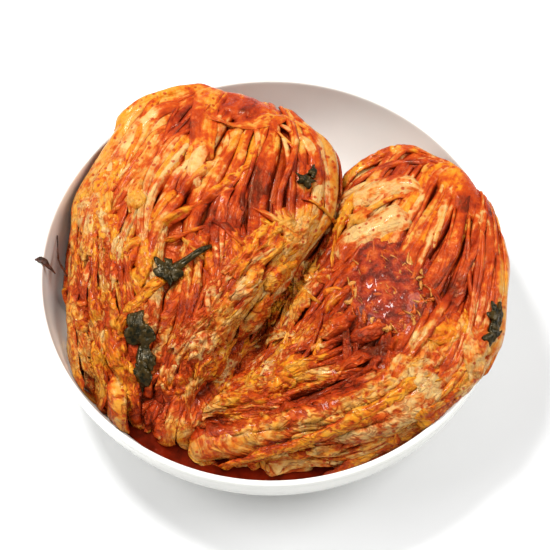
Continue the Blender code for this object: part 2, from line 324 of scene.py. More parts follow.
class Cover:
    """The left head's height over the plan, which the right head's leaves stay under."""

    def __init__(self, head, cell=1.5 * MM):
        u, w = np.meshgrid(np.linspace(0, 1, 500), np.linspace(0, 1, 400), indexing="ij")
        p = head.at(u, w, np.zeros_like(u)).reshape(-1, 3)
        self.cell = cell
        self.low = np.array([-0.15, -0.15])
        self.count = int(0.3 / cell)
        i, j = np.clip(((p[:, :2] - self.low) / cell).astype(int), 0, self.count - 1).T
        flat = np.full(self.count**2, -np.inf)
        np.maximum.at(flat, i * self.count + j, p[:, 2])
        flat[flat == -np.inf] = np.inf
        self.height = flat.reshape(self.count, self.count)

    def limit(self, p, gap):
        i, j = np.clip(((p[..., :2] - self.low) / self.cell).astype(int), 0, self.count - 1).T
        p = p.copy()
        p[..., 2] = np.minimum(p[..., 2], self.height[i, j].T - gap)
        return p


cover = Cover(LEFT)


def settle(head, p, gap=4 * MM):
    """Points kept inside the bowl and, on the right head, under the left one."""
    if head is RIGHT:
        p = cover.limit(p.reshape(-1, 3), gap).reshape(p.shape)
    return hold_in_bowl(p)


# ---------------------------------------------------------------- meshes
class Batch:
    """Closed shapes that together make one piece."""

    def __init__(self):
        self.points, self.faces, self.looks, self.grains = [], [], [], []
        self.count = 0

    def add(self, points, faces, look, grain):
        """Adds points, and faces numbered from the first of them."""
        self.points.append(points.reshape(-1, 3))
        self.faces.append(faces + self.count)
        self.looks.append((np.zeros(points.shape[:-1] + (4,)) if look is None else look).reshape(-1, 4))
        self.grains.append((points if grain is None else grain).reshape(-1, 3))
        self.count += len(self.points[-1])

    def tube(self, rings, clockwise, look=None, grain=None):
        """Adds a closed skin over rows of closed rings, with flat caps."""
        rows, m = rings.shape[:2]
        n = np.arange(rows * m).reshape(rows, m)
        after = np.roll(n, -1, axis=1)
        skin = np.stack([n[:-1], after[:-1], after[1:], n[1:]], -1).reshape(-1, 4)
        k = np.arange(m // 2 - 1)
        cap = np.stack([k, k + 1, m - 2 - k, m - 1 - k], -1)
        faces = np.concatenate([skin, cap[:, ::-1], cap + (rows - 1) * m])
        self.add(rings, faces[:, ::-1] if clockwise else faces, look, grain)

    def grid(self, top, bottom, look=None, grain=None):
        """Adds the solid between two sheets of points."""
        rows, cols = top.shape[:2]
        n = np.arange(rows * cols).reshape(rows, cols)
        under = rows * cols
        face = np.stack([n[:-1, :-1], n[1:, :-1], n[1:, 1:], n[:-1, 1:]], -1).reshape(-1, 4)
        rim = np.concatenate([n[0, :-1], n[:-1, -1], n[-1, :0:-1], n[:0:-1, 0]])
        after = np.roll(rim, -1)
        sides = np.stack([rim, after, after + under, rim + under], -1)
        faces = np.concatenate([face, face[:, ::-1] + under, sides])
        self.add(top, faces, look, grain)
        self.add(bottom, faces[:0], look, grain)

    def build(self, name, material, slot, replaces=()):
        points = np.concatenate(self.points).astype(np.float32)
        faces = np.concatenate(self.faces).astype(np.int32)
        mesh = bpy.data.meshes.new(name)
        mesh.vertices.add(len(points))
        mesh.vertices.foreach_set("co", points.ravel())
        mesh.loops.add(faces.size)
        mesh.loops.foreach_set("vertex_index", faces.ravel())
        mesh.polygons.add(len(faces))
        mesh.polygons.foreach_set("loop_start", np.arange(0, faces.size, 4, dtype=np.int32))
        mesh.update(calc_edges=True)
        mesh.validate()
        look = mesh.attributes.new("look", "FLOAT_COLOR", "POINT")
        look.data.foreach_set("color", np.concatenate(self.looks).astype(np.float32).ravel())
        grain = mesh.attributes.new("grain", "FLOAT_VECTOR", "POINT")
        grain.data.foreach_set("vector", np.concatenate(self.grains).astype(np.float32).ravel())
        mesh.shade_smooth()
        mesh.materials.append(material)
        piece = bpy.data.objects.new(name, mesh)
        bpy.context.scene.collection.objects.link(piece)
        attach(piece, "root")
        if replaces:
            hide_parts(*replaces)


# ---------------------------------------------------------------- colour fields
# Places on a head: along, across, radius in millimetres, amount.
# The spots that lie over the pits are partly sauce and partly painted shade in those pits.
LEFT_SAUCE_AND_PIT_SHADE = (
    (0.17, 0.27, 12, 0.9), (0.06, 0.55, 13, 0.9), (0.05, 0.4, 8, 0.6), (0.24, 0.83, 8, 0.8),
    (0.3, 0.7, 15, 1.0), (0.4, 0.56, 14, 0.8), (0.34, 0.43, 6, 0.7), (0.45, 0.16, 10, 0.5),
    (0.63, 0.2, 12, 0.45), (0.75, 0.18, 10, 0.6), (0.66, 0.6, 12, 0.7), (0.77, 0.47, 9, 0.6),
    (0.92, 0.6, 20, 0.9), (0.92, 0.32, 9, 0.6), (0.52, 0.66, 10, 0.4), (0.93, 0.84, 10, 0.9),
    (0.82, 0.7, 10, 0.6), (0.33, 0.83, 6, 0.9), (0.45, 0.75, 7, 0.5), (0.98, 0.5, 12, 0.9),
    (0.3, 0.5, 32, 0.25), (0.1, 0.2, 14, 0.3), (0.86, 0.45, 14, 0.3),
)
LEFT_PALE = (
    (0.4, 0.09, 16, 1.1), (0.52, 0.08, 12, 1.0), (0.28, 0.1, 12, 1.0), (0.27, 0.42, 10, 1.0),
    (0.18, 0.66, 8, 0.9), (0.43, 0.94, 14, 1.0), (0.52, 0.91, 10, 0.9), (0.3, 0.97, 14, 0.8),
    (0.16, 0.95, 12, 0.6), (0.62, 0.92, 10, 0.7),
    (0.38, 0.33, 10, 0.7), (0.7, 0.82, 10, 0.4), (0.92, 0.4, 10, 0.6), (0.8, 0.2, 9, 0.5),
)
RIGHT_SAUCE_AND_PIT_SHADE = (
    (0.1, 0.5, 12, 0.6), (0.08, 0.72, 9, 0.6), (0.14, 0.42, 8, 0.5), (0.43, 0.38, 26, 1.1),
    (0.36, 0.58, 10, 0.9), (0.52, 0.18, 12, 0.5), (0.6, 0.41, 18, 1.0), (0.77, 0.5, 14, 0.8),
    (0.28, 0.04, 10, 0.5), (0.95, 0.48, 10, 1.0),
    (0.24, 0.58, 9, 0.5), (0.57, 0.52, 9, 0.8), (0.68, 0.55, 9, 0.7), (0.3, 0.72, 9, 0.5), (0.62, 0.72, 8, 0.3),
    (0.2, 0.12, 7, 0.6), (0.28, 0.68, 26, 0.35), (0.15, 0.12, 20, 0.35), (0.88, 0.6, 20, 0.25),
)
RIGHT_PALE = (
    (0.33, 0.1, 9, 0.8), (0.35, 0.14, 9, 0.9), (0.23, 0.25, 10, 1.0), (0.35, 0.24, 9, 1.3),
    (0.42, 0.19, 9, 0.9),
    (0.3, 0.27, 7, 1.0), (0.7, 0.79, 16, 1.0), (0.6, 0.8, 12, 0.6), (0.5, 0.71, 10, 0.5), (0.38, 0.93, 12, 0.7),
    (0.2, 0.97, 14, 0.8), (0.5, 0.95, 12, 0.6), (0.62, 0.34, 8, 0.3), (0.72, 0.4, 8, 0.7), (0.49, 0.57, 7, 0.8),
)
# Places kept free of loose leaves, for the greens, the paste and the palest leaves: along, across, radius.
LEFT_CLEAR = ((0.53, 0.48, 14), (0.79, 0.47, 14), (0.28, 0.83, 9), (0.3, 0.08, 12))
RIGHT_CLEAR = ((0.44, 0.38, 27), (0.36, 0.87, 10), (0.3, 0.17, 17), (0.05, 0.4, 20))


# ---------------------------------------------------------------- leaves
rng = np.random.default_rng(7)
uniform = rng.uniform


def wrinkles(x, y, seed, fold):
    """Sharp ridges about one fold apart, mostly along x, for places in millimetres; from -1.5 to 1.5."""
    bend = 2.5 * noise(x / 9, y / 7, seed, 31)
    long = 1 - 2.2 * np.abs(noise((x + bend) / (2.4 * fold), (y + 2 * bend) / fold, seed, 32))
    short = 1 - 2.2 * np.abs(noise((x - bend) / (0.8 * fold), (y + bend) / (1.6 * fold), seed, 33))
    return long + 0.5 * short


class Leafer:
    """Lays leaves on one head."""

    def __init__(self, head, sauce, pale):
        self.head, self.sauce, self.pale = head, sauce, pale
        self.serial = 0

    def look(self, tint, stain, depth, u, w):
        """What the leaf material reads: yellowness, sauce (partly painted shade), the painted shade of the pits
        and place along the head.
        """
        stain = stain + 0.8 * field(self.sauce, u, w) - 0.5 * field(self.pale, u, w)
        return np.stack([np.full(u.shape, tint), stain.clip(0, 1.5), depth, u.clip(0, 1)], -1)

    def lay(
        self, batch, u, w, turn, length, thick=1.4, lift=0.0, side=1, centred=False, waves=(0, 1), ruffle=0.5,
        tint=0.5, stain=0.2, root=0.8, wrinkle=0.35, crinkle=0.0, blunt=5, taper=1.0, dip=3.0, points=8,
        slim=0.0,
    ):
        """One leaf along a path of places (u, w).

        The section is bent from the first to the second angle of turn, in degrees, and is length millimetres
        long; slim is the share of it lost by the path's end. The leaf lies lift millimetres above the surface,
        or rises from the first to the second lift on its way.
        """
        self.serial += 1
        seed = self.serial * 0.731
        head = self.head
        wide = head.sample(head.wide, u, np.clip(w, 0, 1))
        step = np.hypot(np.gradient(u) * head.sample(head.long, u, w), np.gradient(w) * wide)
        s = (np.cumsum(step) - step[0]) / MM
        total = s[-1]
        ripe = smooth(0.1, 0.85, u)

        c = np.linspace(0, 1, points)
        inner = [points - 1, (5 * points) // 7, (2 * points) // 7, 0]
        first, second = (np.asarray(t, float).reshape(-1, 1) for t in turn)
        heading = first + (second - first) * smooth(0.02, 0.85, c)
        heading = heading + 12 * noise(s / 17, seed, 0.5, 11)[:, None]
        heading = heading + waves[0] * np.sin(TAU * waves[1] * c + 4 * noise(s / 26, seed, 1.5, 12)[:, None])
        pucker = noise(s / 3.5, seed, 2.5, 13) + 0.5 * noise(s / 9, seed, 6.5, 13)
        edge = np.abs(2 * c - 1) ** 3 * np.sign(c - 0.5) if centred else c**2
        heading = heading + (85 * ruffle * ripe * pucker)[:, None] * edge
        heading = np.radians(heading)

        narrow = 1 - taper * 0.5 * (1 - smooth(-0.02, 0.3, u))
        ends = rounding((total - s) / blunt + 0.02) * rounding(s / 5 + 0.05)
        reach = length * narrow * ends * (1 + 0.22 * noise(s / 15, seed, 3.5, 14)) * (1 - slim * s / total)
        seg = (reach / (points - 1))[:, None]
        mid = 0.5 * (heading[:, 1:] + heading[:, :-1])
        zero = np.zeros((len(u), 1))
        b = np.concatenate([zero, np.cumsum(np.cos(mid) * seg, 1)], 1)
        n = np.concatenate([zero, np.cumsum(np.sin(mid) * seg, 1)], 1)
        if centred:
            b = b - b.mean(1, keepdims=True)
        n = n - n.max(1, keepdims=True)

        shell = thick * (1.15 - 0.5 * smooth(0.15, 0.8, u))[:, None] * (0.35 + 0.65 * ends[:, None])
        shell = shell * ((1 - 0.6 * np.abs(2 * c - 1) ** 4) if centred else (1 - 0.6 * c**4))
        b = np.concatenate([b, b[:, inner] + (shell * np.sin(heading))[:, inner]], 1) * side
        n = np.concatenate([n, n[:, inner] - (shell * np.cos(heading))[:, inner]], 1)
        where = np.concatenate([c, c[inner]])

        if isinstance(lift, tuple):
            lift = lift[0] + (lift[1] - lift[0]) * smooth(0, total, s)
        ground = head.heave(u, w)
        heave = ground + lift + 0.7 * noise(s / 21, seed, 4.5, 15)
        heave = heave - dip * smooth(total - 1.6 * blunt, total, s) - 2.0 * (1 - smooth(0, 7, s))
        n = n + heave[:, None]
        arc = where * reach[:, None]
        crumple = noise(s[:, None] / 7, arc / 2.6, seed, 1) + 0.5 * noise(s[:, None] / 3.2, arc / 1.6, seed, 2)
        folds = wrinkles(s[:, None] + 0 * arc, arc, seed, 3.0) if crinkle else 0
        n = n + crumple * (wrinkle * (0.35 + 1.0 * ripe))[:, None] + crinkle * folds

        uu = np.broadcast_to(u[:, None], b.shape)
        ww = w[:, None] + b * MM / wide[:, None]
        p = settle(head, head.at(uu, ww, n * MM))

        depth = (ground + head.sunk(u, w))[:, None] - n
        # Sauce and painted shade: the leaf gets redder where it lies deep below the ground.
        stain = stain - 0.15 * crumple + 0.5 * smooth(0.8, 4.5, depth)
        if crinkle:
            stain = stain + 0.25 * (0.2 - folds)
        # Sauce and painted shade on the root side, where the leaf dips between its neighbours; sauce at the free
        # edge.
        if centred:
            stain = stain + root * 0.7 * np.abs(2 * where - 1) ** 3
        else:
            stain = stain + root * (1 - smooth(0.0, 0.5, where)) + 0.35 * smooth(0.7, 1, where)
        grain = np.stack([s[:, None] * MM + 0 * b, arc * MM, np.full(b.shape, seed * 0.31)], -1)
        middle = len(u) // 2
        bm, nm = b[middle], n[middle]
        clockwise = np.sum(bm * np.roll(nm, -1) - np.roll(bm, -1) * nm) < 0
        # The look's third channel is painted shade, darker the deeper the leaf lies in a pit.
        batch.tube(p, clockwise, self.look(tint, stain, smooth(1.5, 6.5, depth), uu, ww), grain)

    def blade(
        self, batch, u, w, length, width, angle, lift=0.5, height=1.2, tint=0.6, stain=0.1, fold=3.0, arch=1.0,
        lobed=0.3, drop=1.6,
    ):
        """The crumpled blade of a leaf: a patch round one place, at an angle to the head's own direction."""
        self.serial += 1
        seed = self.serial * 0.731
        head = self.head
        rows, cols = (max(8, int(size / 0.85)) for size in (length, width))
        a, b = np.meshgrid(np.linspace(-1, 1, rows), np.linspace(-1, 1, cols), indexing="ij")
        turn = math.radians(angle)
        lobes = 1 + lobed * noise(a * 2.2, b * 2.2, seed, 30) * np.maximum(np.abs(a), np.abs(b))
        x = 0.5 * length * a * np.sqrt(1 - 0.4 * b * b) * lobes
        y = 0.5 * width * b * np.sqrt(1 - 0.4 * a * a) * lobes + 0.15 * width * noise(a, 0.5, seed, 35)
        along, across = x * math.cos(turn) - y * math.sin(turn), x * math.sin(turn) + y * math.cos(turn)
        here_u, here_w = np.array(u), np.array(w)
        uu = u + along * MM / head.sample(head.long, here_u, here_w.clip(0, 1))
        ww = w + across * MM / head.sample(head.wide, here_u, here_w.clip(0, 1))
        ridge = wrinkles(x, y, seed, fold)
        edge = np.maximum(np.abs(a), np.abs(b)) ** 4
        over = lift + arch * (1 - a * a) * (1 - b * b) + height * ridge
        over = over - drop * edge * (1 + noise(a * 3, b * 3, seed, 36))
        n = over + head.heave(uu, ww)
        top = settle(head, head.at(uu, ww, n * MM))
        low = settle(head, head.at(uu, ww, (n - 0.8 - 2.5 * (1 - edge)) * MM))
        depth = head.sunk(uu, ww) - over
        # Sauce in the wrinkle valleys, and sauce with painted shade where the blade lies low in a pit.
        stain = stain + 0.3 * (0.3 - ridge) + 0.5 * smooth(-0.5, 3.0, depth)
        grain = np.stack([x * MM, y * MM, np.full(x.shape, seed * 0.31)], -1)
        # The look's third channel is painted shade for the low parts of the blade.
        batch.grid(top, low, self.look(tint, stain, smooth(0.0, 4.5, depth), uu, ww), grain)

    def path(self, c, start, end, wander=0.012, slope=0.0, spacing=1.5):
        """Stations along the folds of the head."""
        rows = max(12, int((end - start) * HEAD_LENGTH / spacing))
        t = np.linspace(0, 1, rows)
        u = start + (end - start) * t
        seed = uniform(0, 30)
        w = self.head.flow(c, u) + slope * (t - 0.5)
        return u, w + wander * (noise(u * 6, seed, 0.5, 3) + 0.6 * noise(u * 13, seed, 1.5, 4))

    def route(self, places, spacing=1.3):
        """Stations along a smooth line through a few places."""
        p = ends_extended(np.array(places, float), 0)
        t = np.linspace(0, 1, 200)
        i, weights = spline_weights(t, len(places))
        line = sum(w[:, None] * p[i + k] for k, w in enumerate(weights))
        lengths = np.hypot(np.diff(line[:, 0]) * HEAD_LENGTH, np.diff(line[:, 1]) * HEAD_WIDTH)
        s = np.concatenate([[0], np.cumsum(lengths)])
        even = np.linspace(0, s[-1], max(10, int(s[-1] / spacing)))
        return np.interp(even, s, line[:, 0]), np.interp(even, s, line[:, 1])


def pick(mean, spread, low=0.0, high=1.0):
    return float(np.clip(rng.normal(mean, spread), low, high))


def dress(leafer, parting, clear):
    """The common leaves of a head. Left of the parting most have flopped left, and right of it right.

    No loose leaf has its middle in a clear place, given as along, across and radius in millimetres.
    """

    def free(u, w):
        along, across = np.mean(u), np.mean(w)
        return all(
            math.hypot((along - a) * HEAD_LENGTH, (across - b) * HEAD_WIDTH) > radius for a, b, radius in clear
        )

    def flop(c, contrary):
        """The side that a leaf from fold c lies on; a share of them are contrary."""
        side = -1 if c / FOLDS < parting else 1
        return -side if rng.random() < contrary else side

    under, over, tips = Batch(), Batch(), Batch()
    count = 32
    for k in range(count):
        c = FOLDS * (k + 0.5 + uniform(-0.35, 0.35)) / count
        side = flop(c, 0.18)
        u, w = leafer.path(c, uniform(-0.45, -0.25), uniform(0.85, 1.05), wander=0.018, spacing=1.9)
        leafer.lay(
            under, u, w, (uniform(75, 100), uniform(-45, 10)), uniform(9, 18), side=side,
            thick=uniform(1.1, 1.9), lift=uniform(-1.0, 0.7), ruffle=uniform(0.2, 0.7),
            tint=pick(0.35, 0.25), stain=pick(0.28, 0.14), root=uniform(0.4, 0.7), crinkle=0.15,
        )
    for _ in range(42):
        c = uniform(0.3, FOLDS - 0.3)
        side = flop(c, 0.25)
        start = uniform(0.06, 0.65)
        end = min(1.0, start + uniform(0.12, 0.40))
        u, w = leafer.path(c, start, end, wander=0.025, slope=uniform(-0.14, 0.14))
        if not free(u, w):
            continue
        leafer.lay(
            over, u, w, (uniform(60, 95), uniform(-60, 0)), uniform(5, 11), side=side,
            thick=uniform(0.9, 1.5), lift=uniform(0.4, 1.8), ruffle=uniform(0.3, 1.0),
            tint=pick(0.4, 0.28), stain=pick(0.30, 0.18), root=uniform(0.3, 0.7), wrinkle=0.4, crinkle=0.2,
        )
    for _ in range(24):
        c = uniform(0.3, FOLDS - 0.3)
        start = uniform(0.3, 0.9)
        end = min(1.05, start + uniform(0.07, 0.18))
        u, w = leafer.path(c, start, end, wander=0.03, slope=uniform(-0.2, 0.2), spacing=1.2)
        if not free(u, w):
            continue
        leafer.lay(
            over, u, w, (uniform(10, 50), uniform(-50, -10)), uniform(7, 12), centred=True,
            thick=uniform(0.8, 1.2), lift=uniform(1.0, 2.2), waves=(uniform(25, 60), uniform(1, 2.2)),
            ruffle=uniform(0.5, 1.0), tint=pick(0.55, 0.2), stain=pick(0.2, 0.15), wrinkle=0.5, crinkle=0.4,
            dip=4.0,
        )
    for _ in range(34):
        c = uniform(0.3, FOLDS - 0.3)
        start = uniform(0.35, 0.92)
        end = min(1.05, start + uniform(0.06, 0.13))
        u, w = leafer.path(c, start, end, wander=0.03, slope=uniform(-0.15, 0.15), spacing=1.0)
        if not free(u, w):
            continue
        leafer.lay(
            over, u, w, (45, -45), uniform(6, 9), centred=True, thick=0.8, lift=uniform(1.0, 2.2),
            waves=(25, 2), ruffle=1.0, tint=pick(0.8, 0.2), stain=pick(-0.05, 0.12, -0.3), root=0.2,
            wrinkle=0.4, blunt=4,
        )
    for _ in range(60):
        u, w = uniform(0.40, 1.0), uniform(0.04, 0.96)
        if not free(u, w):
            continue
        leafer.blade(
            tips, u, w, uniform(18, 34), uniform(10, 19), rng.normal(0, 25), lift=uniform(0.0, 2.4),
            height=uniform(1.0, 1.8), tint=pick(0.55, 0.3), stain=pick(0.05, 0.18, -0.2),
            fold=uniform(3.2, 5.5), arch=uniform(0.3, 1.8),
        )
    for k in range(14):
        start = uniform(0.82, 0.93)
        w = (k + uniform(0.2, 0.8)) / 14
        bend = (1.0, w + rng.normal(0, 0.03))
        end = (uniform(1.12, 1.3), w + rng.normal(0, 0.06))
        u, w = leafer.route(((start, w), bend, end))
        leafer.lay(
            tips, u, w, (uniform(20, 50), uniform(-50, -20)), uniform(10, 18), centred=True, thick=1.2,
            lift=(1.0, uniform(4, 11)), waves=(20, 1.5), ruffle=0.6, tint=pick(0.5, 0.25),
            stain=pick(0.05, 0.12), wrinkle=0.4, crinkle=0.7, blunt=7, points=12,
        )
    return under, over, tips


def flanks(leafer, batch):
    """Broad outer leaves over the sides, down to the bowl."""
    for across, direction in ((-0.10, -1), (1.10, 1)):
        for k in range(7):
            offset = direction * (0.13 * k + 0.02)
            rows = np.linspace(uniform(0.0, 0.06), uniform(0.94, 1.0), 90)
            w = across + offset + 0.02 * noise(rows * 5, k, leafer.serial, 3)
            leafer.lay(
                batch, rows, w, (18, -18), 15, side=direction, centred=True, thick=1.5, lift=uniform(-0.3, 0.6),
                waves=(10, 2), ruffle=0.3, tint=pick(0.25, 0.15), stain=pick(0.12, 0.1), taper=0.3,
            )


KINDS = {
    "band": dict(turn=(42, -42), ruffle=0.15, wrinkle=0.2),
    "broad": dict(turn=(22, -22), waves=(8, 2), ruffle=0.25, wrinkle=0.25, points=12),
    "crinkled": dict(turn=(35, -35), waves=(14, 2), ruffle=0.6, wrinkle=0.3, crinkle=0.8, points=14),
    "smooth": dict(turn=(14, -14), ruffle=0, wrinkle=0.3, points=20, taper=0, root=0.3),
    "strip": dict(turn=(55, -55), ruffle=0.7, wrinkle=0.3),
}


def special(leafer, batch, kind, places, width, tint, stain, lift, more=()):
    """A leaf of one of the kinds above, centred on a line through the places."""
    shape = {**KINDS[kind], "centred": True, **dict(more)}
    leafer.lay(batch, *leafer.route(places), length=width, tint=tint, stain=stain, lift=lift, **shape)


# Leaves that stand out: kind, places on the line, width in millimetres, yellowness, sauce, lift and extras.
LEFT_SPECIALS = (
    ("smooth", ((-0.04, 0.56), (0.03, 0.56), (0.1, 0.55)), 40, 0.95, 0.35, 1.6),
    ("smooth", ((-0.04, 0.16), (0.05, 0.24), (0.13, 0.34), (0.24, 0.42)), 18, 0.6, 0.05,
     1.4, dict(turn=(9, -9))),
    ("smooth", ((0.11, 0.3), (0.13, 0.44), (0.12, 0.56), (0.09, 0.68), (0.05, 0.8)), 20, 0.6, 0.1,
     1.2, dict(turn=(7, -7), dip=2)),
    ("smooth", ((-0.12, 0.12), (-0.02, 0.06), (0.08, 0.02), (0.18, -0.01), (0.3, -0.02)), 24, 0.6, 0.12,
     3.6, dict(thick=2.4, turn=(34, -34), root=0.5)),
    ("broad", ((0.06, 0.1), (0.16, 0.05), (0.28, 0.04), (0.4, 0.03), (0.52, 0.03), (0.66, 0.06)), 15, 0.45, 0.04,
     (0.6, 3.4)),
    ("broad", ((0.12, 0.2), (0.19, 0.13), (0.3, 0.11), (0.39, 0.11), (0.5, 0.11), (0.64, 0.14)), 14, 0.15, 0.0,
     (1.0, 3.4)),
    ("band", ((0.15, 0.3), (0.23, 0.21), (0.31, 0.19), (0.42, 0.18), (0.52, 0.15), (0.62, 0.13)), 8, 0.5, 0.42,
     0.5),
    ("band", ((0.16, 0.34), (0.23, 0.28), (0.32, 0.26), (0.42, 0.24), (0.52, 0.21), (0.66, 0.18)), 6, 0.45, 0.25,
     1.0),
    ("band", ((0.2, 0.35), (0.29, 0.33), (0.38, 0.32), (0.46, 0.34), (0.55, 0.36)), 6, 0.05, 0.0, 1.2),
    ("broad", ((0.18, 0.42), (0.25, 0.41), (0.33, 0.44)), 11, 0.1, 0.02, 1.4, dict(thick=0.9)),
    ("crinkled", ((0.22, 0.63), (0.28, 0.55), (0.35, 0.48)), 11, 0.85, 0.0, 2.2),
    ("band", ((0.1, 0.62), (0.15, 0.65), (0.22, 0.67)), 7, 0.2, 0.0, 1.2),
    ("band", ((0.13, 0.76), (0.19, 0.77), (0.26, 0.78)), 5, 0.1, 0.0, 1.0),
    ("broad", ((0.04, 0.8), (0.12, 0.93), (0.24, 0.96), (0.34, 0.96), (0.46, 0.95), (0.6, 0.94)), 13, 0.45, 0.05,
     0.8),
    ("broad", ((0.08, 0.76), (0.16, 0.86), (0.28, 0.9), (0.38, 0.9), (0.48, 0.89), (0.6, 0.9), (0.74, 0.98)), 12,
     0.1, 0.0, 0.6),
    ("band", ((0.1, 0.71), (0.18, 0.8), (0.27, 0.84)), 5, 0.5, 0.3, 0.8),
    ("strip", ((0.36, 0.72), (0.46, 0.7), (0.56, 0.71), (0.68, 0.71), (0.8, 0.74)), 6, 0.3, 0.1, 1.0),
    ("strip", ((0.38, 0.76), (0.48, 0.75), (0.58, 0.75), (0.7, 0.76)), 5, 0.75, 0.05, 1.0),
    ("strip", ((0.4, 0.66), (0.5, 0.64), (0.6, 0.65), (0.7, 0.66)), 5, 0.1, 0.25, 1.2),
    ("broad", ((0.52, 0.8), (0.61, 0.81), (0.71, 0.83)), 13, 0.35, 0.15, 0.6, dict(thick=0.8)),
    ("crinkled", ((0.56, 0.47), (0.63, 0.42), (0.71, 0.37), (0.78, 0.35)), 9, 0.85, 0.0, 2.2),
    ("crinkled", ((0.68, 0.2), (0.74, 0.22), (0.8, 0.24)), 12, 0.8, 0.0, 1.8),
    ("crinkled", ((0.74, 0.14), (0.8, 0.15), (0.86, 0.14)), 12, 0.3, 0.0, 1.5),
    ("broad", ((0.76, 0.3), (0.83, 0.29), (0.89, 0.28)), 14, 0.3, 0.25, 2.0, dict(blunt=3)),
    ("broad", ((0.84, 0.32), (0.93, 0.37), (1.03, 0.41), (1.14, 0.43)), 14, 0.45, -0.15,
     (3.0, 12), dict(thick=1.8, slim=0.45, blunt=9)),
    ("broad", ((0.72, 0.1), (0.82, 0.09), (0.92, 0.12), (1.02, 0.18), (1.14, 0.22)), 14, 0.45, -0.1,
     (2.0, 12), dict(slim=0.45, blunt=9)),
    ("broad", ((0.84, 0.01), (0.95, 0.03), (1.06, 0.06), (1.18, 0.09)), 15, 0.35, -0.05,
     (1.5, 12), dict(slim=0.4, blunt=9)),
    ("broad", ((0.86, 0.23), (0.96, 0.27), (1.06, 0.3), (1.18, 0.32)), 13, 0.5, -0.1,
     (2.0, 13), dict(slim=0.45, blunt=9)),
    ("broad", ((0.88, 0.72), (0.98, 0.7), (1.08, 0.68), (1.18, 0.66)), 13, 0.4, -0.15,
     (3.0, 12), dict(slim=0.4, blunt=9)),
    ("crinkled", ((0.92, 0.58), (1.0, 0.56), (1.1, 0.52)), 10, 0.5, 0.1, (1.0, 8)),
    ("broad", ((0.88, 0.84), (0.95, 0.88), (1.04, 0.9)), 16, 0.6, 0.05, (2.4, 6)),
    ("band", ((0.8, 0.8), (0.87, 0.8), (0.93, 0.78)), 8, 0.3, 0.1, 1.6),
)
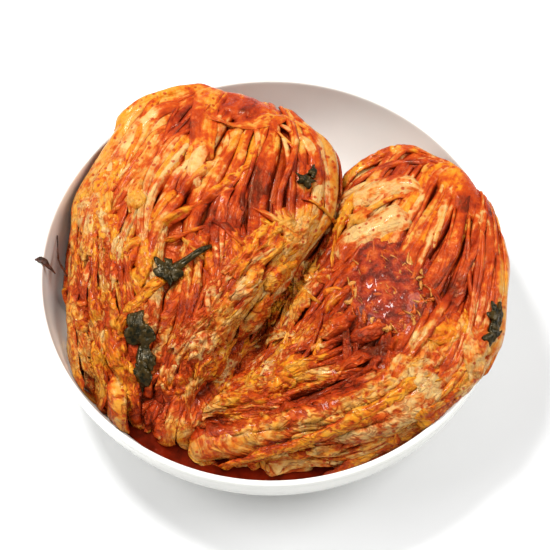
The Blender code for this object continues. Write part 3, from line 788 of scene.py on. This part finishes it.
RIGHT_SPECIALS = (
    ("smooth", ((-0.04, 0.36), (0.05, 0.38), (0.16, 0.4)), 60, 0.95, 0.25, 1.6),
    ("crinkled", ((0.42, 0.0), (0.3, 0.0), (0.2, 0.03), (0.1, 0.08)), 10, 0.7, 0.2, 1.0),
    ("band", ((0.4, 0.04), (0.3, 0.06), (0.2, 0.12), (0.12, 0.18)), 7, 0.5, 0.45, 1.0),
    ("band", ((0.45, 0.04), (0.34, 0.08), (0.26, 0.15)), 6, 0.05, 0.0, 1.2),
    ("smooth", ((0.52, 0.06), (0.42, 0.08), (0.34, 0.12), (0.26, 0.18), (0.2, 0.25)), 19, 0.15, 0.0,
     2.4, dict(turn=(32, -32))),
    ("smooth", ((0.5, 0.16), (0.43, 0.18), (0.36, 0.22), (0.28, 0.27)), 22, 0.0, 0.0,
     2.8, dict(turn=(28, -28), root=0.5)),
    ("band", ((0.5, 0.115), (0.42, 0.13), (0.34, 0.17), (0.26, 0.22)), 5, 0.6, 0.4, 2.0),
    ("band", ((0.16, 0.36), (0.22, 0.4), (0.29, 0.42)), 7, 0.3, 0.0, 1.2),
    ("strip", ((0.14, 0.42), (0.22, 0.47), (0.3, 0.5), (0.36, 0.5)), 5, 0.2, 0.15, 1.0),
    ("strip", ((0.13, 0.52), (0.22, 0.57), (0.32, 0.59), (0.42, 0.6)), 5, 0.35, 0.2, 1.0),
    ("strip", ((0.12, 0.6), (0.22, 0.67), (0.33, 0.71), (0.43, 0.73)), 6, 0.15, 0.1, 1.2),
    ("strip", ((0.1, 0.66), (0.2, 0.73), (0.31, 0.76), (0.42, 0.79)), 5, 0.5, 0.35, 0.8),
    ("broad", ((0.06, 0.74), (0.16, 0.81), (0.28, 0.85), (0.4, 0.87), (0.54, 0.91), (0.7, 0.95)), 10, 0.6, 0.1,
     1.0),
    ("broad", ((0.02, 0.9), (0.12, 0.94), (0.26, 0.96), (0.38, 0.97), (0.5, 0.98), (0.64, 1.0)), 12, 0.15, 0.05,
     0.8),
    ("broad", ((0.08, 0.94), (0.16, 0.96), (0.24, 0.97), (0.34, 0.97), (0.44, 0.96)), 16, 0.35, 0.12,
     (1.8, 3.4), dict(thick=2.4, blunt=9)),
    ("band", ((0.37, 0.69), (0.5, 0.71), (0.62, 0.72)), 8, 0.35, 0.05, 1.2),
    ("band", ((0.36, 0.78), (0.48, 0.83), (0.61, 0.86), (0.74, 0.9), (0.84, 0.93)), 8, 0.45, 0.1, 1.2),
    ("band", ((0.43, 0.55), (0.49, 0.57), (0.6, 0.6)), 6, 0.2, 0.0, 1.0),
    ("broad", ((0.46, 0.64), (0.54, 0.66), (0.64, 0.66)), 10, 0.5, 0.1, 1.4),
    ("strip", ((0.6, 0.41), (0.66, 0.39), (0.72, 0.34), (0.78, 0.26)), 8, 0.9, 0.0, 2.6),
    ("broad", ((0.62, 0.47), (0.67, 0.45), (0.73, 0.4), (0.79, 0.32)), 11, 0.35, 0.0, 1.8),
    ("crinkled", ((0.8, 0.36), (0.86, 0.33), (0.92, 0.3)), 14, 0.6, 0.1, 2.4, dict(blunt=4)),
    ("crinkled", ((0.78, 0.44), (0.85, 0.43), (0.92, 0.41)), 13, 0.5, 0.15, 2.0, dict(blunt=4)),
    ("crinkled", ((0.84, 0.5), (0.9, 0.46), (0.96, 0.44)), 12, 0.7, 0.1, 1.4, dict(blunt=4)),
    ("broad", ((0.54, 0.79), (0.62, 0.8), (0.72, 0.79), (0.84, 0.81)), 20, 0.1, 0.0, 3.4, dict(wrinkle=0.15)),
    ("crinkled", ((0.58, 0.64), (0.7, 0.62), (0.8, 0.6), (0.89, 0.6), (0.98, 0.64), (1.1, 0.67)), 22, 0.4, -0.08,
     (3.4, 9), dict(thick=1.6)),
    ("strip", ((0.56, 0.7), (0.66, 0.71), (0.77, 0.72), (0.87, 0.72), (0.97, 0.73), (1.12, 0.7)), 11, 0.75, -0.1,
     (4.2, 11), dict(ruffle=0.9, turn=(32, -32))),
    ("band", ((0.6, 0.9), (0.7, 0.94), (0.8, 0.96), (0.9, 0.98)), 9, 0.3, 0.05, 0.8),
    ("crinkled", ((0.8, 0.99), (0.9, 1.02), (0.98, 1.08), (1.0, 1.2)), 13, 0.5, 0.1, (0.6, 8)),
    ("broad", ((0.92, 0.8), (1.0, 0.84), (1.1, 0.86)), 12, 0.4, 0.1, (1.0, 9)),
    ("crinkled", ((0.92, 0.54), (1.0, 0.54), (1.1, 0.56)), 10, 0.4, 0.2, (1.0, 7)),
)


# ---------------------------------------------------------------- materials
class Nodes:
    """A new material, with a short call for each kind of node in it."""

    def __init__(self, name):
        self.material = bpy.data.materials.new(name)
        self.material.use_nodes = True
        self.tree = self.material.node_tree

    def feed(self, inputs, values):
        """Links or sets inputs, given by name or number."""
        for key, value in dict(values).items():
            if isinstance(value, bpy.types.NodeSocket):
                self.tree.links.new(value, inputs[key])
            else:
                inputs[key].default_value = (*value, 1) if inputs[key].type == "RGBA" else value

    def new(self, kind, values=(), **settings):
        node = self.tree.nodes.new("ShaderNode" + kind)
        for name, value in settings.items():
            setattr(node, name, value)
        self.feed(node.inputs, values)
        return node

    def maths(self, operation, *values):
        return self.new("Math", enumerate(values), operation=operation).outputs[0]

    def add(self, total, *values):
        for value in values:
            total = self.maths("ADD", total, value)
        return total

    def times(self, a, b):
        return self.maths("MULTIPLY", a, b)

    def swing(self, value, amount):
        """Noise from 0 to 1 turned into a swing to both sides of nothing."""
        return self.times(self.maths("SUBTRACT", value, 0.5), amount)

    def ramp(self, fac, *stops):
        node = self.new("ValToRGB", {"Fac": fac})
        elements = node.color_ramp.elements
        while len(elements) < len(stops):
            elements.new(0.5)
        for element, (place, colour) in zip(elements, stops):
            element.position = place
            element.color = (*(colour if isinstance(colour, tuple) else (colour,) * 3), 1)
        return node.outputs["Color"]

    def mix(self, fac, a, b):
        return self.new("Mix", {0: fac, 6: a, 7: b}, data_type="RGBA").outputs[2]

    def scaled(self, vector, *scale):
        return self.new("VectorMath", {0: vector, 1: scale}, operation="MULTIPLY").outputs[0]

    def speckle(self, vector, scale, detail=2.0, distortion=0.0):
        values = {"Vector": vector, "Scale": scale, "Detail": detail, "Distortion": distortion}
        return self.new("TexNoise", values).outputs["Fac"]

    def cells(self, vector, scale):
        """Distance to the nearest of scattered points, and a random colour of that point."""
        node = self.new("TexVoronoi", {"Vector": vector, "Scale": scale})
        return node.outputs["Distance"], node.outputs["Color"]

    def place(self):
        return self.new("NewGeometry").outputs["Position"]

    def attribute(self, name, output):
        return self.new("Attribute", attribute_name=name).outputs[output]

    def split(self, colour):
        return self.new("SeparateColor", {0: colour}).outputs

    def surface(self, values, relief, strength, distance):
        """The material, once its shader has these values and this relief."""
        bump = self.new("Bump", {"Height": relief, "Strength": strength, "Distance": distance})
        self.feed(self.tree.nodes["Principled BSDF"].inputs, {**values, "Normal": bump.outputs[0]})
        return self.material


CREAM = (0.58, 0.36, 0.13)
STRAW = (0.56, 0.26, 0.045)
YELLOW = (0.60, 0.24, 0.012)
AMBER = (0.57, 0.16, 0.006)
ORANGE = (0.53, 0.095, 0.004)
EMBER = (0.42, 0.042, 0.003)
BRICK = (0.26, 0.016, 0.002)
MAROON = (0.10, 0.006, 0.001)


def leaf_material():
    """Pale to yellow leaf with streaks and blots of sauce, chilli dots, creases darkened with sauce and painted
    shade, and painted shade in the pits.
    """
    m = Nodes("leaf")
    tint, stain, depth = m.split(m.attribute("look", "Color"))
    ripe, grain, place = m.attribute("look", "Alpha"), m.attribute("grain", "Vector"), m.place()
    fibre = m.speckle(m.scaled(grain, 50, 900, 1), 1.0, 3.0)
    streak = m.speckle(m.scaled(grain, 30, 330, 1), 1.0, 2.0)
    crease = m.speckle(m.scaled(grain, 150, 220, 1), 1.0, 3.0, 0.6)
    cloud, blot, fine = m.speckle(place, 75, 4.0), m.speckle(place, 190, 3.0), m.speckle(place, 420, 3.0)
    spot, chance = m.cells(place, 260)
    groove = m.ramp(m.maths("ABSOLUTE", m.maths("SUBTRACT", crease, 0.5)), (0.0, 1.0), (0.10, 0.0))
    groove = m.times(groove, m.ramp(ripe, (0.25, 0.15), (0.7, 1.0)))

    yellow = m.add(tint, m.swing(streak, 0.8), m.swing(blot, 1.2))
    base = m.ramp(yellow, (0.0, CREAM), (0.35, STRAW), (0.7, YELLOW), (1.0, AMBER))
    sauce = m.add(stain, 0.08, m.swing(m.ramp(cloud, (0.36, 0.0), (0.64, 1.0)), 0.5), m.swing(blot, 1.3))
    sauce = m.add(sauce, m.swing(streak, 0.8), m.swing(fibre, 0.25), m.swing(fine, 0.3), m.times(groove, 0.2))
    red = m.ramp(m.times(sauce, 0.65), (0.15, ORANGE), (0.42, EMBER), (0.72, BRICK), (1.0, MAROON))
    amount = m.ramp(sauce, (0.0, 0.0), (0.2, 0.35), (0.4, 0.85), (0.55, 1.0))
    dots = m.ramp(m.add(spot, m.swing(fine, 0.6)), (0.20, 1.0), (0.34, 0.0))
    rare = m.ramp(m.split(chance)[0], (0.50, 0.0), (0.56, 0.9))
    colour = m.mix(m.times(dots, rare), m.mix(amount, base, red), (0.36, 0.030, 0.004))
    # Painted shade with sauce along the creases: dark red-brown lines.
    colour = m.mix(m.times(groove, 0.45), colour, (0.17, 0.014, 0.002))
    # Painted shade: nearly black in the deep pits.
    colour = m.mix(m.times(depth, 0.85), colour, (0.045, 0.005, 0.001))
    values = {
        "Base Color": colour,
        "Subsurface Weight": 0.12,
        "Subsurface Radius": (1.0, 0.35, 0.1),
        "Subsurface Scale": 0.0015,
        "Specular IOR Level": 0.32,
        "Specular Tint": (1.0, 0.5, 0.2),
        "Roughness": m.ramp(cloud, (0.35, 0.22), (0.65, 0.42)),
        "Coat Weight": 0.08,
        "Coat Roughness": 0.08,
    }
    relief = m.maths("SUBTRACT", m.times(fibre, 0.25), m.times(groove, 0.6))
    return m.surface(values, m.add(relief, m.times(fine, 0.5)), 0.9, 0.0012)


def glaze_material():
    m = Nodes("glaze")
    cloud = m.speckle(m.place(), 25, 2.0)
    colour = m.ramp(cloud, (0.3, (0.84, 0.84, 0.79)), (0.7, (0.88, 0.88, 0.83)))
    values = {"Base Color": colour, "Roughness": 0.25, "Coat Weight": 0.4, "Coat Roughness": 0.06}
    return m.surface(values, cloud, 0.05, 0.001)


def paste_material():
    """Dark chilli paste with lumps of red, and pale shreds where the tint is high."""
    m = Nodes("paste")
    tint, stain, _ = m.split(m.attribute("look", "Color"))
    place = m.place()
    cloud, fine = m.speckle(place, 180, 3.0), m.speckle(place, 900, 2.0)
    dark, middle, light = (0.10, 0.004, 0.001), (0.30, 0.018, 0.002), (0.50, 0.08, 0.005)
    red = m.ramp(m.add(cloud, m.times(stain, 0.2)), (0.38, dark), (0.55, middle), (0.72, light))
    values = {
        "Base Color": m.mix(m.ramp(tint, (0.5, 0.0), (0.6, 0.9)), red, (0.55, 0.24, 0.045)),
        "Subsurface Weight": 0.2,
        "Subsurface Radius": (1.0, 0.3, 0.1),
        "Subsurface Scale": 0.002,
        "Specular Tint": (1.0, 0.5, 0.3),
        "Roughness": 0.15,
        "Coat Weight": 0.25,
        "Coat Roughness": 0.03,
    }
    return m.surface(values, m.add(cloud, m.times(fine, 0.5)), 1.0, 0.0022)


def plain_material(name, dark, light, roughness, scale, bump, sheen=(1, 1, 1), shine=0.5):
    """A material that only varies between two colours."""
    m = Nodes(name)
    cloud = m.speckle(m.place(), scale, 3.0)
    values = {
        "Base Color": m.ramp(cloud, (0.35, dark), (0.65, light)),
        "Roughness": roughness,
        "Specular IOR Level": shine,
        "Specular Tint": sheen,
    }
    return m.surface(values, cloud, bump, 0.0008)


# ---------------------------------------------------------------- pieces
def bowl(material):
    """The glazed bowl: a closed profile turned about its axis, with small caps in the middle of the floor."""
    turn = np.linspace(0, 0.5 * math.pi, 40)[:-1]
    across, high = RIM_RADIUS - WALL - FLOOR_RADIUS, BOWL_HEIGHT - FLOOR_TOP
    inside = [(FLOOR_RADIUS + across * math.sin(t), BOWL_HEIGHT - high * math.cos(t)) for t in turn]
    half = WALL / 2
    lip = np.linspace(math.pi, 0, 13)
    rim = [(RIM_RADIUS - half + half * math.cos(t), BOWL_HEIGHT - half + half * math.sin(t)) for t in lip]
    wall = FLOOR_RADIUS + WALL
    outside = [(wall + across * math.sin(t), BOWL_HEIGHT - (high + WALL) * math.cos(t)) for t in turn[::-1]]
    foot = [
        (FOOT_RADIUS + 1 * MM, FOOT_RECESS), (FOOT_RADIUS, 0.4 * MM), (FOOT_RADIUS - 0.5 * MM, 0),
        (FOOT_RADIUS - FOOT_WIDTH + 0.5 * MM, 0), (FOOT_RADIUS - FOOT_WIDTH, 0.4 * MM),
        (FOOT_RADIUS - FOOT_WIDTH - 1 * MM, FOOT_RECESS),
    ]
    centre = 0.3 * MM
    floor_edge = (FLOOR_RADIUS - 4 * MM, FLOOR_TOP)
    profile = [(centre, FLOOR_TOP), floor_edge, *inside, *rim, *outside, *foot, (centre, FOOT_RECESS)]
    r, z = np.array(profile).T[..., None]
    angles = np.linspace(0, TAU, 192, endpoint=False)
    batch = Batch()
    batch.tube(np.stack([r * np.cos(angles), r * np.sin(angles), z + 0 * angles], -1), True)
    batch.build("bowl_glazed", material, "glaze", ("bowl",))


def core(head, material):
    """The saucy inner leaves of a head, under the roots of the others."""
    u, w = np.meshgrid(np.linspace(-0.97, 1.97, 120), np.linspace(-0.97, 1.97, 150), indexing="ij")
    along, across = u * HEAD_LENGTH, w * HEAD_WIDTH
    strands = 1 - 2 * np.abs(noise(along / 60, across / 5, head.phase, 34))
    p = settle(head, head.at(u, w, (head.heave(u, w) - 5 + strands) * MM), 11 * MM)
    look = np.stack([0.4 + 0 * u, 0.75 - 0.25 * strands, 0 * u, u.clip(0, 1)], -1)
    grain = np.stack([along * MM, across * MM, 0 * u], -1)
    batch = Batch()
    batch.tube(p, True, look, grain)
    batch.build(head.name.replace("head", "core"), material, "cabbage")


def brine(material):
    """The liquid along the front wall, with a rounded edge where it meets the glaze."""
    batch = Batch()
    angles = np.linspace(math.radians(205), math.radians(310), 150)
    inner = 0.085 + 0 * angles
    shore = float(wall_radius(BRINE_LEVEL)) + CLEARANCE - 0.1 * MM
    shares = np.array([0, 0.15, 0.3, 0.45, 0.6, 0.7, 0.8, 0.88, 0.94, 0.975, 0.992, 1.0])
    r = inner[:, None] + (shore + 0.8 * MM - inner)[:, None] * shares
    climb = 1.6 * MM * np.exp(-((shore + 0.8 * MM - r) / (1.3 * MM)))
    z = BRINE_LEVEL + climb + 0.25 * MM * noise(np.cos(angles)[:, None] * 12, r * 90, 0.5, 40)
    x, y = r * np.cos(angles)[:, None], r * np.sin(angles)[:, None]
    top = np.stack([x, y, z], -1)
    low = np.stack([x, y, np.full_like(z, BRINE_LEVEL - 3 * MM)], -1)
    low[..., :2] *= 0.985
    batch.grid(top[:, ::-1], low[:, ::-1])
    batch.build("brine", material, "brine", ("brine_pool",))


def paste_mound(leafer, material):
    """The mound of chilli paste with shreds of radish on the right head."""
    batch = Batch()
    head = leafer.head
    a, b = np.meshgrid(np.linspace(-1, 1, 80), np.linspace(-1, 1, 70), indexing="ij")
    r = np.hypot(a, b)
    u, w = 0.44 + 0.125 * a, 0.38 + 0.20 * b + 0.03 * a
    x, y = 30 * a, 24 * b
    lumps = noise(x / 5, y / 5, 0.5, 50) + 0.6 * np.abs(noise(x / 2.2, y / 2.2, 0.5, 51))
    n = 3.2 * (1 - smooth(0.2, 1.0, r)) + 1.1 * lumps * smooth(0.1, 0.3, np.hypot(a - 0.05, b))
    n = n - 3.0 * smooth(0.6, 1.1, r) + head.heave(u, w)
    top = settle(head, head.at(u, w, n * MM))
    low = settle(head, head.at(u, w, (n - 1 - 2 * (1 - smooth(0.5, 1, r))) * MM))
    batch.grid(top, low)
    for _ in range(150):
        turn, away = uniform(0, TAU), 0.8 * math.sqrt(rng.random())
        middle = np.array([0.44 + 0.125 * away * math.cos(turn), 0.38 + 0.20 * away * math.sin(turn)])
        heading = uniform(0, TAU)
        half = uniform(2.2, 5)
        reach = half * np.array([math.cos(heading) / HEAD_LENGTH, math.sin(heading) / HEAD_WIDTH])
        bow = rng.normal(0, 1.6) * np.array([-math.sin(heading) / HEAD_LENGTH, math.cos(heading) / HEAD_WIDTH])
        u, w = leafer.route((middle - reach, middle + bow, middle + reach), spacing=0.9)
        leafer.lay(
            batch, u, w, (50, -50), uniform(2.4, 4.2), centred=True, thick=0.7, ruffle=0, wrinkle=0.15,
            lift=3.0 * (1 - away) + uniform(0.3, 1.3), tint=rng.random(), stain=uniform(0, 1), blunt=1.5,
            taper=0, dip=1.5,
        )
    batch.build("paste_mound", material, "chilli", ("seasoning_heap",))


def greens(left, right, material):
    """The dark green leaves: crumpled patches, and for some a strip that trails from them."""
    for name, leafer, patches, trail, node in (
        ("green_strip", left, ((0.555, 0.465, 13, 12, 20), (0.54, 0.485, 12, 9, 70)),
         ((0.56, 0.46), (0.53, 0.49), (0.49, 0.54), (0.45, 0.59)), "green_leaf_strip"),
        ("green_clump", left,
         ((0.735, 0.42, 17, 14, 5), (0.75, 0.47, 14, 13, 50), (0.79, 0.5, 15, 7, 40), (0.85, 0.485, 12, 9, 60)),
         ((0.75, 0.46), (0.82, 0.48), (0.91, 0.5)), "green_leaf_clump"),
        ("green_edge", right, ((0.34, 0.87, 17, 9, 20), (0.38, 0.88, 12, 8, 0)), (), "green_leaf_edge"),
        ("green_small", left, ((0.28, 0.83, 12, 7, 70), (0.26, 0.86, 8, 6, 30)), (), None),
    ):
        batch = Batch()
        for u, w, length, width, angle in patches:
            leafer.blade(
                batch, u, w, length, width, angle, lift=3.6, height=0.7, fold=2, arch=0.4, lobed=0.6, drop=0.9
            )
        if trail:
            leafer.lay(
                batch, *leafer.route(trail), (25, -25), 12, centred=True, thick=0.8, lift=3.6, waves=(15, 2),
                ruffle=0.4, wrinkle=0.5, blunt=4, taper=0, points=14, slim=0.65,
            )
        batch.build(name, material, "greens", (node,) if node else ())


def strand(batch, places, widths, thick, facing):
    """A thin strip through places given in millimetres, with its flat side towards a direction."""
    p = ends_extended(np.array(places, float), 0)
    t = np.linspace(0, 1, 40)
    i, weights = spline_weights(t, len(places))
    line = sum(weight[:, None] * p[i + k] for k, weight in enumerate(weights))
    line = line + 0.35 * np.stack([noise(t * 9, 0.5, 0.5 + c, 41) for c in range(3)], -1)
    ahead = np.gradient(line, axis=0)
    ahead = ahead / np.linalg.norm(ahead, axis=1, keepdims=True)
    across = np.cross(ahead, facing)
    across = across / np.linalg.norm(across, axis=1, keepdims=True)
    out = np.cross(across, ahead)
    half = 0.5 * np.interp(t, np.linspace(0, 1, len(widths)), widths) * (1 + 0.25 * noise(t * 11, 3.5, 0.5, 42))
    turn = np.linspace(0, TAU, 12, endpoint=False)
    b = np.cos(turn) * half[:, None]
    n = 0.5 * thick * np.sin(turn) + 0.25 * noise(t * 15, 7.5, 0.5, 43)[:, None]
    rings = line[:, None] + across[:, None] * b[..., None] + out[:, None] * n[..., None]
    batch.tube(rings * MM, True)


def scraps(material):
    """The dark strip over the bowl's left rim and the thin one on its wall."""
    batch = Batch()
    high = BOWL_HEIGHT / MM
    over_rim = (
        (-140.6, 5, high - 1.5), (-138.4, 4.2, high + 0.6), (-134.5, 2.2, high - 0.4), (-129.5, -1.5, high - 7),
    )
    on_wall = (-131, 28.5, 47), (-129.6, 16, 48.5), (-128.4, 9, 50), (-125.5, 3, 53), (-122.5, -4, 54)
    strand(batch, over_rim, (3.0, 4.4, 4.2, 0.7), 0.8, (0.3, 0.0, 1.0))
    strand(batch, on_wall, (0.5, 0.8, 2.4, 3.6, 2.0), 0.9, (0.9, 0.0, 0.5))
    batch.build("rim_scraps", material, "greens")


def floor(material):
    bpy.ops.mesh.primitive_plane_add(size=6, location=(0, 0, -0.0002))
    plane = bpy.context.object
    plane.name = "floor"
    plane.data.materials.append(material)


def area_light(name, place, size, power):
    """A round lamp that faces the food."""
    light = bpy.data.lights.new(name, "AREA")
    light.shape = "DISK"
    light.size = size
    light.energy = power
    lamp = bpy.data.objects.new(name, light)
    lamp.location = place
    lamp.rotation_euler = (Vector(LIT_PLACE) - Vector(place)).to_track_quat("-Z", "Y").to_euler()
    bpy.context.scene.collection.objects.link(lamp)


def camera():
    """The photo's view, from the front at a steep angle."""
    tilt = math.radians(CAMERA_TILT)
    made = bpy.data.cameras.new("camera")
    made.lens = CAMERA_LENS
    made.clip_start = 0.05
    holder = bpy.data.objects.new("camera", made)
    holder.location = Vector(CAMERA_TARGET) + CAMERA_DISTANCE * Vector((0, -math.cos(tilt), math.sin(tilt)))
    holder.rotation_euler = (math.radians(90) - tilt, 0, 0)
    bpy.context.scene.collection.objects.link(holder)
    bpy.context.scene.camera = holder


def world(strength):
    scene = bpy.context.scene
    scene.world = bpy.data.worlds.new("studio")
    scene.world.use_nodes = True
    back = scene.world.node_tree.nodes["Background"]
    back.inputs["Color"].default_value = (1, 1, 1, 1)
    back.inputs["Strength"].default_value = strength


# ---------------------------------------------------------------- scene
leaf = leaf_material()
glaze = glaze_material()
paste = paste_material()
green = plain_material(
    "greens", (0.003, 0.004, 0.001), (0.045, 0.026, 0.005), 0.22, 330, 1.0, sheen=(0.8, 0.7, 0.5), shine=0.3
)
dried = plain_material("dried", (0.015, 0.007, 0.003), (0.080, 0.018, 0.006), 0.4, 300, 0.8, shine=0.25)
liquid = plain_material(
    "liquid", (0.06, 0.004, 0.001), (0.15, 0.009, 0.002), 0.08, 120, 0.5, sheen=(0.5, 0.15, 0.08), shine=0.3
)
white = plain_material("paper", (0.78, 0.78, 0.78), (0.80, 0.80, 0.80), 0.6, 5, 0.0)

bowl(glaze)
brine(liquid)

leafers = []
for head, sauce, pale, parting, clear, marks in (
    (LEFT, LEFT_SAUCE_AND_PIT_SHADE, LEFT_PALE, 0.55, LEFT_CLEAR, LEFT_SPECIALS),
    (RIGHT, RIGHT_SAUCE_AND_PIT_SHADE, RIGHT_PALE, 0.45, RIGHT_CLEAR, RIGHT_SPECIALS),
):
    side = head.name.split("_")[0]
    leafer = Leafer(head, sauce, pale)
    under, over, tips = dress(leafer, parting, clear)
    outer = Batch()
    flanks(leafer, outer)
    for mark in marks:
        special(leafer, outer, *mark)
    under.build(f"{side}_leaves", leaf, "cabbage", (head.name,))
    over.build(f"{side}_loose_leaves", leaf, "cabbage")
    tips.build(f"{side}_crumpled_leaves", leaf, "cabbage")
    outer.build(f"{side}_outer_leaves", leaf, "cabbage")
    core(head, leaf)
    leafers.append(leafer)
paste_mound(leafers[1], paste)
greens(*leafers, green)
scraps(dried)

camera()
world(0.48)
floor(white)
area_light("key", (-0.45, 0.45, 1.15), 0.3, 15)
area_light("fill_right", (0.8, 0.0, 0.9), 0.7, 8)
area_light("fill_left", (-0.85, -0.1, 0.9), 0.7, 6)
bpy.context.scene.view_settings.view_transform = "Standard"
